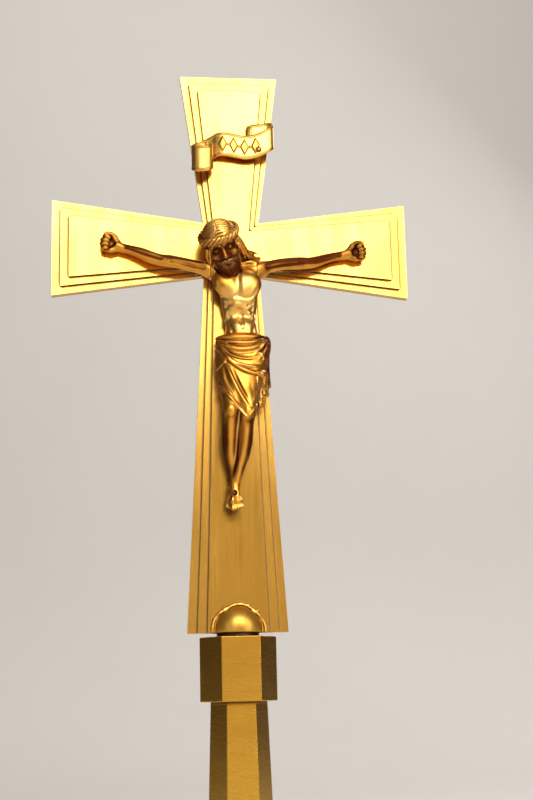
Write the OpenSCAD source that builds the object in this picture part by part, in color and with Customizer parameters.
// Altar cross: a hollow stepped brass cross with a cast corpus and a scroll, held by one
// tie rod through a hexagonal collar, a tapered hexagonal stem and a weighted stepped base.
// Millimetres. +Z is up, the front faces -Y, and the origin is under the base's centre.

/* [Cross] */
// Height of the whole object, from the table to the cross's top edge
overall_height = 610; // [600:1:640]
// Width over the ends of the two arms
arm_span = 244; // [236:1:260]
// Distance from the crossing centre up to the top edge
upper_reach = 126.8; // [120:0.2:135]
// Distance from the crossing centre down to the bottom edge
lower_reach = 259.9; // [255:0.1:265]
// Width of all four limbs where they meet at the crossing
waist = 38; // [36:0.5:42]
// Height of an arm's end edge
arm_end = 67.4; // [60:0.2:72]
// Width of the top edge
top_end = 68; // [60:0.5:72]
// Width of the bottom edge
bottom_end = 65.8; // [60:0.2:70]
// Thickness of the hollow box, without the raised tiers
box_depth = 6; // [5:0.5:9]
// Thickness of the box's sheets
sheet = 1.5; // [1:0.1:2]
// Thickness of each raised tier
tier_step = 2; // [1:0.1:2.5]

/* [Tiers] */
// How far each tier stands back from an arm's end and from the top edge
tier_end_inset = 5.8; // [4:0.1:8]
// How far each tier stands back from the sides at an arm's end
tier_side_inset = 6.1; // [4:0.1:8]
// How far each tier stands back at the corners of the crossing
tier_waist_inset = 3.6; // [3:0.1:4.5]
// How far each tier stands back from the sides at the bottom edge
tier_foot_inset = 6.4; // [4:0.1:8]

/* [Socket and collar] */
// Radius of the domed socket brazed into the cross's foot
socket_r = 16.8; // [15:0.1:18]
// Height of the socket's straight part under its dome
socket_skirt = 2.4; // [1:0.1:4]
// Gap between the cross and the collar, which the neck washer spans
neck_gap = 2.6; // [2:0.1:4]
// Corner radius of the hexagonal collar
collar_r = 25.1; // [24:0.1:28]
// Height of the collar
collar_height = 40.9; // [35:0.1:45]

/* [Stem] */
// Corner radius of the stem at its top
stem_top_r = 18.45; // [17:0.05:20]
// Growth of the stem's corner radius for each millimetre downwards
stem_taper = 0.0325; // [0.02:0.0025:0.045]
// Wall thickness of the stem and the collar
tube_wall = 1.6; // [1.2:0.1:2]

/* [Base] */
// Corner radius of the lowest step
base_r = 95; // [90:1:110]
// How far each step stands back from the one under it, at the corners
base_inset = 17; // [14:1:18]
// Thickness of the base's sheet
base_wall = 1.6; // [1.2:0.1:2]
// Thickness of the felt
felt_depth = 2; // [1:0.5:3]

/* [Corpus] */
// Size of the cast figure against its usual eight inches
corpus_scale = 1; // [0.95:0.01:1.02]

/* [Hidden] */
$fn = 64;

// Heights, from the table up
lower_step_top = 16;
middle_step_top = 28;
upper_step_top = 38;
flare_top = 58;
stem_foot_z = 62;
crossing_z = overall_height - upper_reach;
cross_bottom_z = crossing_z - lower_reach;
collar_top_z = cross_bottom_z - neck_gap;
collar_bottom_z = collar_top_z - collar_height;
stem_length = collar_bottom_z - stem_foot_z;
stem_foot_r = stem_top_r + stem_taper * stem_length;

// Depths, from the middle of the cross towards the front
box_face = box_depth / 2;
middle_face = box_face + tier_step;
panel_face = middle_face + tier_step;
rim_width = 3;

// A wall measured across the flats takes this much from a hexagon's corner radius
function corner_of(wall) = wall / cos(30);

// Base steps and the weight inside
middle_step_r = base_r - base_inset;
upper_step_r = middle_step_r - base_inset;
flare_foot_r = upper_step_r - base_inset + 2;
foot_moulding_r = 27.5;
ballast_flange_r = 70;
ballast_boss_r = 42;
ballast_boss_gap = 2;
bottom_plate_depth = 3;
ballast_z = felt_depth + bottom_plate_depth;
counterbore_r = 12;
counterbore_top = ballast_z + 12;

// Tie rod, M8, with running clearance in every bore and in the socket
rod_r = 4;
rod_bore_r = 4.05;
rod_bottom = ballast_z + 2;
rod_in_socket = 13;
rod_end_gap = 0.5;
washer_r = 9;
washer_depth = 1.6;
nut_depth = 6.5;
nut_r = 7.5;
slip_gap = 0.1;
// Plugs that centre the tie rod in the stem's two ends
plug_depth = 12;
cap_depth = 3;

// Screws of the bottom plate, M4
screw_ring_r = 55;
screw_r = 2;
screw_head_r = 3.6;
screw_head_depth = 1.6;
screw_length = 9;
fit_gap = 0.05;

// Fixings of the figure and the scroll
nail_r = 1.1;
nail_head_r = 2;
nail_head_depth = 1.2;
rivet_r = 0.9;
rivet_head_r = 1.7;
rivet_head_depth = 0.8;
stud_r = 2;
stud_x = 3;
stud_height = crossing_z - 38;
stud_nut_r = 4.05;
stud_nut_depth = 3.2;
stud_washer_r = 4.5;
stud_washer_depth = 0.8;

// Places of the two hand nails and the foot nail, as [x, height over the crossing]
hand_nail_at = [[-84, 0.4], [85.5, -4.6]];
foot_nail_at = [-3, -171.5];
palm_face = panel_face + 8.5;
instep_face = panel_face + 18.5;

// Scroll: its middle, its lean, and the plan of its wave
scroll_at = [1.5, 554.5];
scroll_lean = -7;
scroll_height = 17.5;
scroll_half = 27;
scroll_wave = 3;
scroll_sheet = 1.2;
scroll_roll_r = 4.5;
scroll_rivet_x = [-15, 18];
scroll_rivet_z = -4;

// Seam between the figure's body and each separately cast arm
arm_seam_x = 15.5;
// Sides of the round stations that the figure's limbs are hulled from
limb_sides = 14;

// Stations of the figure, as [x, y from the panel, height over the crossing, x, y and z radius]
torso = [
    [4.8, -7, -84, 15, 8, 8], [5.5, -7, -66, 12.5, 8, 6], [4.8, -7.5, -56, 10.6, 8, 6],
    [3.9, -8.5, -44, 11.8, 9, 6], [2.6, -9, -34, 14.2, 10, 6], [1, -8, -22, 16.5, 8.5, 5],
    [0, -10, -13, 8, 7, 5], [-3, -14, -6, 6, 6, 6]
];
left_leg = [
    [-3, -10, -84, 9, 9, 9], [-4, -17, -104, 7, 7.5, 7], [-4, -21, -118, 5.4, 6.4, 6],
    [-5, -17, -136, 5, 5.4, 5], [-4.4, -11, -156, 3.4, 3.8, 4], [-4.2, -8, -166, 3, 3.6, 4],
    [-4.2, -7, -173, 3.2, 4.2, 4], [-3.8, -6.4, -180, 3, 2.8, 3.4]
];
right_leg = [
    [12, -10, -84, 9, 9, 9], [7.6, -17, -104, 7, 7.5, 7], [6.2, -21, -118, 5.4, 6.4, 6],
    [4.8, -18, -136, 4.9, 5.4, 5], [0.6, -14, -156, 3.5, 3.8, 4], [-1, -13, -166, 3.1, 3.6, 4],
    [-1.6, -12.5, -173, 3.4, 4.2, 4], [-1, -11.5, -180, 3.6, 2.8, 3.4]
];
loincloth = [
    [5.6, -9, -67, 15, 10, 3], [4.8, -10, -74, 18.4, 12, 4], [5, -11, -86, 18.2, 13, 5],
    [4.8, -13, -98, 16.5, 13.5, 5], [2.5, -15, -107, 12, 12, 5]
];
cloth_tail = [[17, -6, -86, 6.5, 5, 6], [17.5, -5.5, -100, 5.6, 4.5, 5], [16.8, -5, -114, 3.6, 4, 3]];
head = [[-9, -20, 3, 11.5, 12.5, 10.5], [-6.5, -22, -9, 8.5, 9.5, 9], [-2.5, -24, -21, 4.5, 5, 5.5]];
hair = [[-17, -13, -4, 5, 6, 9], [-14, -10, -16, 4, 5, 6]];
hair_right = [[2, -13, -3, 4.5, 6, 7], [9, -9, -12, 4, 5, 5]];
arm_left = [
    [-14, -8.5, -18.8, 5.6, 5.6, 5.6], [-22.5, -8.5, -17.2, 4.2, 4.2, 4.2],
    [-36, -9, -14.1, 4.1, 4.1, 4.1], [-49.5, -8.5, -12.1, 4, 4, 4],
    [-56, -8, -9.9, 4.2, 4.2, 4.2], [-66, -6.5, -5.6, 3.6, 3.6, 3.6],
    [-73, -5.5, -3.5, 3.6, 3.4, 3.6], [-80, -5, -1, 4, 4.4, 5.4], [-86, -5.5, 0.6, 3.6, 5, 6.8]
];
arm_right = [
    [15.5, -8.5, -17.6, 5.6, 5.6, 5.6], [25, -8.5, -15.8, 4, 4, 4],
    [38.7, -9, -13.7, 4.2, 4.2, 4.2], [50, -8.5, -13.3, 4, 4, 4],
    [59.4, -7.5, -11, 3.4, 3.4, 3.4], [67, -6.5, -8.3, 3.2, 3.2, 3.2],
    [74, -5.5, -6.9, 3.3, 3.3, 3.3], [80, -5, -5, 4, 4.4, 5], [87.5, -5.5, -3.8, 3.8, 5, 6.6]
];

// ---------- shared shapes ----------

// Outline of one level of the cross, level 0 being the box and 2 the centre panel
module cross_outline(level) {
    c = waist / 2 - tier_waist_inset * level;
    reach = arm_span / 2 - tier_end_inset * level;
    arm = arm_end / 2 - tier_side_inset * level;
    top = upper_reach - tier_end_inset * level;
    top_half = top_end / 2 - tier_side_inset * level;
    foot_half = bottom_end / 2 - tier_foot_inset * level;
    polygon([
        [-top_half, top], [top_half, top], [c, c], [reach, arm], [reach, -arm], [c, -c],
        [foot_half, -lower_reach], [-foot_half, -lower_reach],
        [-c, -c], [-reach, -arm], [-reach, arm], [-c, c]
    ]);
}

// Puts a flat drawing upright, its back at depth "back" and its front at depth "front"
module upright(back, front) {
    translate([0, -back, crossing_z])
        rotate([90, 0, 0])
            linear_extrude(front - back)
                children();
}

// Straight round bar along Y between two depths, counted towards the front
module depth_bar(x, z, r, back, front) {
    translate([x, -back, z])
        rotate([90, 0, 0])
            cylinder(h = front - back, r = r);
}

module socket_envelope() {
    translate([0, 0, cross_bottom_z]) {
        cylinder(h = socket_skirt, r = socket_r);
        difference() {
            translate([0, 0, socket_skirt]) sphere(r = socket_r);
            translate([0, 0, socket_skirt - socket_r]) cube(2 * socket_r, center = true);
        }
    }
}

// Holes for the rivets, nails and stud, through everything from the back to the front
module fixing_holes() {
    for (x = scroll_rivet_x) scroll_rivet_bar(x, rivet_r + fit_gap, -box_face - 1, panel_face + 1);
    for (at = concat(hand_nail_at, [foot_nail_at]))
        depth_bar(at[0], crossing_z + at[1], nail_r + fit_gap, -box_face - 1, panel_face + 1);
    depth_bar(stud_x, stud_height, stud_r + fit_gap, -box_face - 1, panel_face + 1);
}

module cross_layer(level, back, front) {
    difference() {
        upright(back, front) cross_outline(level);
        socket_envelope();
        fixing_holes();
    }
}

module hexagon(r, z, h) {
    translate([0, 0, z]) cylinder(h = h, r = r, $fn = 6);
}

module hex_plate(r, z, h) {
    difference() {
        hexagon(r, z, h);
        rod_hole(z, h);
    }
}

module rod_hole(z, h) {
    translate([0, 0, z - 1]) cylinder(h = h + 2, r = rod_bore_r);
}

// Skin over a chain of ellipsoid stations
module limb(stations) {
    for (i = [0 : len(stations) - 2])
        hull() {
            station(stations[i]);
            station(stations[i + 1]);
        }
}

module station(s) {
    translate([s[0], s[1], s[2]])
        scale([s[3], s[4], s[5]])
            sphere(r = 1, $fn = limb_sides);
}

// Places the figure on the centre panel and cuts its back flat against it
module on_panel() {
    difference() {
        translate([0, -panel_face, crossing_z])
            scale(corpus_scale)
                children();
        translate([-arm_span / 2, -panel_face, 0]) cube([arm_span, arm_span, overall_height]);
    }
}

// One nail: a domed head at the front, a shank, and a peened end on the back plate
module nail(at, head_face) {
    z = crossing_z + at[1];
    depth_bar(at[0], z, nail_r, -box_face - nail_head_depth, head_face);
    depth_bar(at[0], z, nail_head_r, head_face, head_face + nail_head_depth);
    depth_bar(at[0], z, nail_head_r, -box_face - nail_head_depth, -box_face);
}

// ---------- cross ----------

module cross_back_plate() {
    color("darkgoldenrod") cross_layer(0, -box_face, sheet - box_face);
}

module cross_rim() {
    color("goldenrod")
        difference() {
            upright(sheet - box_face, box_face - sheet) cross_outline(0);
            upright(-box_face, box_face) offset(delta = -rim_width) cross_outline(0);
            socket_envelope();
        }
}

module cross_front_plate() {
    color("goldenrod") cross_layer(0, box_face - sheet, box_face);
}

module cross_middle_tier() {
    color("gold") cross_layer(1, box_face, middle_face);
}

module cross_centre_panel() {
    color("khaki") cross_layer(2, middle_face, panel_face);
}

module domed_socket() {
    bore_depth = rod_in_socket + rod_end_gap;
    color("gold")
        difference() {
            socket_envelope();
            translate([0, 0, cross_bottom_z - 1]) cylinder(h = bore_depth + 1, r = rod_bore_r);
        }
}

// ---------- scroll ----------

// Depth of the band's back over its length: it rests on the panel at both rivets
function scroll_depth(x) =
    let (middle = (scroll_rivet_x[0] + scroll_rivet_x[1]) / 2)
    scroll_wave * (1 + cos(180 * (x - middle) / (scroll_rivet_x[1] - middle)));

module on_scroll() {
    translate([scroll_at[0], -panel_face, scroll_at[1]])
        rotate([0, scroll_lean, 0])
            children();
}

module scroll_rivet_bar(x, r, back, front) {
    on_scroll()
        translate([x, panel_face - back, scroll_rivet_z])
            rotate([90, 0, 0])
                cylinder(h = front - back, r = r);
}

module scroll_band() {
    steps = 36;
    step = 2 * scroll_half / steps;
    back_edge = [for (i = [0 : steps]) let (x = i * step - scroll_half) [x, -scroll_depth(x)]];
    front_edge = [for (i = [steps : -1 : 0]) back_edge[i] - [0, scroll_sheet]];
    roll_y = -scroll_depth(-scroll_half) - scroll_roll_r;
    color("orange")
        difference() {
            on_scroll()
                translate([0, 0, -scroll_height / 2]) {
                    linear_extrude(scroll_height) polygon(concat(back_edge, front_edge));
                    scroll_roll(-scroll_half + 2, roll_y);
                }
            for (x = scroll_rivet_x) {
                scroll_rivet_bar(x, rivet_r + fit_gap, panel_face - 1, panel_face + 3);
                scroll_rivet_bar(x, rivet_head_r + fit_gap, panel_face + scroll_sheet, panel_face + 4);
            }
        }
}

module scroll_roll(x, y) {
    translate([x, y, 0])
        difference() {
            cylinder(h = scroll_height, r = scroll_roll_r);
            translate([0, 0, -1]) cylinder(h = scroll_height + 2, r = scroll_roll_r - scroll_sheet);
        }
}

module scroll_rivets() {
    head_back = panel_face + scroll_sheet;
    color("saddlebrown")
        for (x = scroll_rivet_x) {
            scroll_rivet_bar(x, rivet_r, box_face - sheet - rivet_head_depth, head_back);
            scroll_rivet_bar(x, rivet_head_r, head_back, head_back + rivet_head_depth);
            scroll_rivet_bar(x, rivet_head_r, box_face - sheet - rivet_head_depth, box_face - sheet);
        }
}

// ---------- figure ----------

module corpus_body() {
    color("peru")
        on_panel()
            intersection() {
                union() {
                    for (chain = [torso, left_leg, right_leg, loincloth, cloth_tail]) limb(chain);
                    for (chain = [head, hair, hair_right]) limb(chain);
                    crown_of_thorns();
                }
                union() {
                    translate([-arm_seam_x, -60, -40]) cube([2 * arm_seam_x, 60, 60]);
                    translate([-40, -60, -200]) cube([80, 60, 170]);
                }
            }
}

module crown_of_thorns() {
    translate([-9.5, -20, 5])
        rotate([8, -10, 0])
            rotate_extrude($fn = 24)
                translate([12, 0])
                    circle(r = 2.2, $fn = 10);
}

// The arm at -X
module corpus_arm_left() {
    color("peru")
        on_panel()
            difference() {
                limb(arm_left);
                translate([-arm_seam_x, -60, -60]) cube([60, 60, 90]);
            }
}

// The arm at +X
module corpus_arm_right() {
    color("peru")
        on_panel()
            difference() {
                limb(arm_right);
                translate([arm_seam_x - 60, -60, -60]) cube([60, 60, 90]);
            }
}

module hand_nail_left() {
    color("dimgray") nail(hand_nail_at[0], palm_face);
}

module hand_nail_right() {
    color("dimgray") nail(hand_nail_at[1], palm_face);
}

module foot_nail() {
    color("dimgray") nail(foot_nail_at, instep_face);
}

module corpus_stud() {
    color("silver")
        depth_bar(stud_x, stud_height, stud_r, -box_face - stud_nut_depth - 2, panel_face + 6);
}

module corpus_stud_washer() {
    color("silver")
        difference() {
            depth_bar(stud_x, stud_height, stud_washer_r, -box_face - stud_washer_depth, -box_face);
            depth_bar(stud_x, stud_height, stud_r + fit_gap, -box_face - 2, -box_face + 1);
        }
}

module corpus_stud_nut() {
    front = -box_face - stud_washer_depth;
    color("silver")
        difference() {
            translate([stud_x, -front, stud_height])
                rotate([-90, 0, 0])
                    cylinder(h = stud_nut_depth, r = stud_nut_r, $fn = 6);
            depth_bar(stud_x, stud_height, stud_r + fit_gap, front - stud_nut_depth - 1, front + 1);
        }
}

// ---------- collar and stem ----------

module neck_washer() {
    h = neck_gap - slip_gap;
    color("dimgray")
        difference() {
            translate([0, 0, collar_top_z]) cylinder(h = h, r = socket_r - 3);
            rod_hole(collar_top_z, h);
        }
}

module collar_shell() {
    color("goldenrod")
        difference() {
            hexagon(collar_r, collar_bottom_z, collar_height);
            hexagon(collar_r - corner_of(tube_wall), collar_bottom_z - 1, collar_height + 2);
        }
}

module collar_top_cap() {
    color("darkgoldenrod")
        hex_plate(collar_r - corner_of(tube_wall), collar_top_z - cap_depth, cap_depth);
}

module collar_bottom_cap() {
    color("darkgoldenrod")
        hex_plate(collar_r - corner_of(tube_wall), collar_bottom_z, cap_depth);
}

module stem_shell() {
    wall = corner_of(tube_wall);
    color("goldenrod")
        translate([0, 0, stem_foot_z])
            difference() {
                cylinder(h = stem_length, r1 = stem_foot_r, r2 = stem_top_r, $fn = 6);
                translate([0, 0, -1])
                    cylinder(
                        h = stem_length + 2,
                        r1 = stem_foot_r - wall + stem_taper,
                        r2 = stem_top_r - wall - stem_taper,
                        $fn = 6
                    );
            }
}

module stem_top_plug() {
    color("darkgoldenrod")
        hex_plate(stem_top_r - corner_of(tube_wall) - fit_gap, collar_bottom_z - plug_depth, plug_depth);
}

module stem_bottom_plug() {
    r = stem_foot_r - stem_taper * plug_depth - corner_of(tube_wall) - fit_gap;
    color("darkgoldenrod") hex_plate(r, stem_foot_z, plug_depth);
}

module stem_foot_moulding() {
    color("gold") hex_plate(foot_moulding_r, flare_top, stem_foot_z - flare_top);
}

// ---------- base ----------

module base_flare() {
    h = flare_top - upper_step_top;
    top_r = foot_moulding_r - 1;
    wall = corner_of(base_wall);
    color("goldenrod")
        difference() {
            translate([0, 0, upper_step_top]) cylinder(h = h, r1 = flare_foot_r, r2 = top_r, $fn = 6);
            translate([0, 0, upper_step_top - 0.01])
                cylinder(h = h - base_wall, r1 = flare_foot_r - wall, r2 = top_r - wall, $fn = 6);
            rod_hole(upper_step_top, h);
        }
}

// One step of the base: a hexagonal pan, open underneath
module base_step(r, bottom, top, hole_r) {
    difference() {
        hexagon(r, bottom, top - bottom);
        hexagon(r - corner_of(base_wall), bottom - 1, top - bottom - base_wall + 1);
        translate([0, 0, bottom]) cylinder(h = top - bottom + 1, r = hole_r);
    }
}

module base_upper_step() {
    color("goldenrod") base_step(upper_step_r, middle_step_top, upper_step_top, rod_bore_r);
}

module base_middle_step() {
    color("goldenrod")
        base_step(middle_step_r, lower_step_top, middle_step_top, ballast_boss_r + ballast_boss_gap);
}

module base_lower_step() {
    color("goldenrod")
        base_step(base_r, felt_depth, lower_step_top, ballast_boss_r + ballast_boss_gap);
}

module screw_places() {
    for (turn = [30, 150, 270])
        rotate([0, 0, turn])
            translate([screw_ring_r, 0, felt_depth])
                children();
}

module ballast_weight() {
    flange_top = lower_step_top - base_wall;
    boss_top = upper_step_top - base_wall;
    color("dimgray")
        difference() {
            union() {
                translate([0, 0, ballast_z]) cylinder(h = flange_top - ballast_z, r = ballast_flange_r);
                translate([0, 0, ballast_z]) cylinder(h = boss_top - ballast_z, r = ballast_boss_r);
            }
            rod_hole(ballast_z, boss_top - ballast_z);
            translate([0, 0, ballast_z - 1])
                cylinder(h = counterbore_top - ballast_z + 1, r = counterbore_r);
            screw_places() cylinder(h = screw_length, r = screw_r + fit_gap);
        }
}

module base_bottom_plate() {
    r = base_r - corner_of(base_wall) - fit_gap;
    color("silver")
        difference() {
            hexagon(r, felt_depth, bottom_plate_depth);
            screw_places() {
                cylinder(h = screw_length, r = screw_r + fit_gap);
                translate([0, 0, -1]) cylinder(h = screw_head_depth + 1, r = screw_head_r + fit_gap);
            }
        }
}

module bottom_plate_screws() {
    color("silver")
        screw_places() {
            cylinder(h = screw_head_depth, r = screw_head_r);
            cylinder(h = screw_length - 1, r = screw_r);
        }
}

module felt_pad() {
    color("darkgreen") hexagon(base_r - 2, 0, felt_depth);
}

// ---------- tie rod ----------

module tie_rod() {
    color("silver")
        translate([0, 0, rod_bottom])
            cylinder(h = cross_bottom_z + rod_in_socket - rod_bottom, r = rod_r);
}

module tie_rod_washer() {
    z = counterbore_top - washer_depth;
    color("silver")
        difference() {
            translate([0, 0, z]) cylinder(h = washer_depth, r = washer_r);
            rod_hole(z, washer_depth);
        }
}

module tie_rod_nut() {
    color("silver") hex_plate(nut_r, counterbore_top - washer_depth - nut_depth, nut_depth);
}

cross_back_plate();
cross_rim();
cross_front_plate();
cross_middle_tier();
cross_centre_panel();
domed_socket();
scroll_band();
scroll_rivets();
corpus_body();
corpus_arm_left();
corpus_arm_right();
hand_nail_left();
hand_nail_right();
foot_nail();
corpus_stud();
corpus_stud_washer();
corpus_stud_nut();
neck_washer();
collar_shell();
collar_top_cap();
collar_bottom_cap();
stem_shell();
stem_top_plug();
stem_bottom_plug();
stem_foot_moulding();
base_flare();
base_upper_step();
base_middle_step();
base_lower_step();
ballast_weight();
base_bottom_plate();
bottom_plate_screws();
felt_pad();
tie_rod();
tie_rod_washer();
tie_rod_nut();
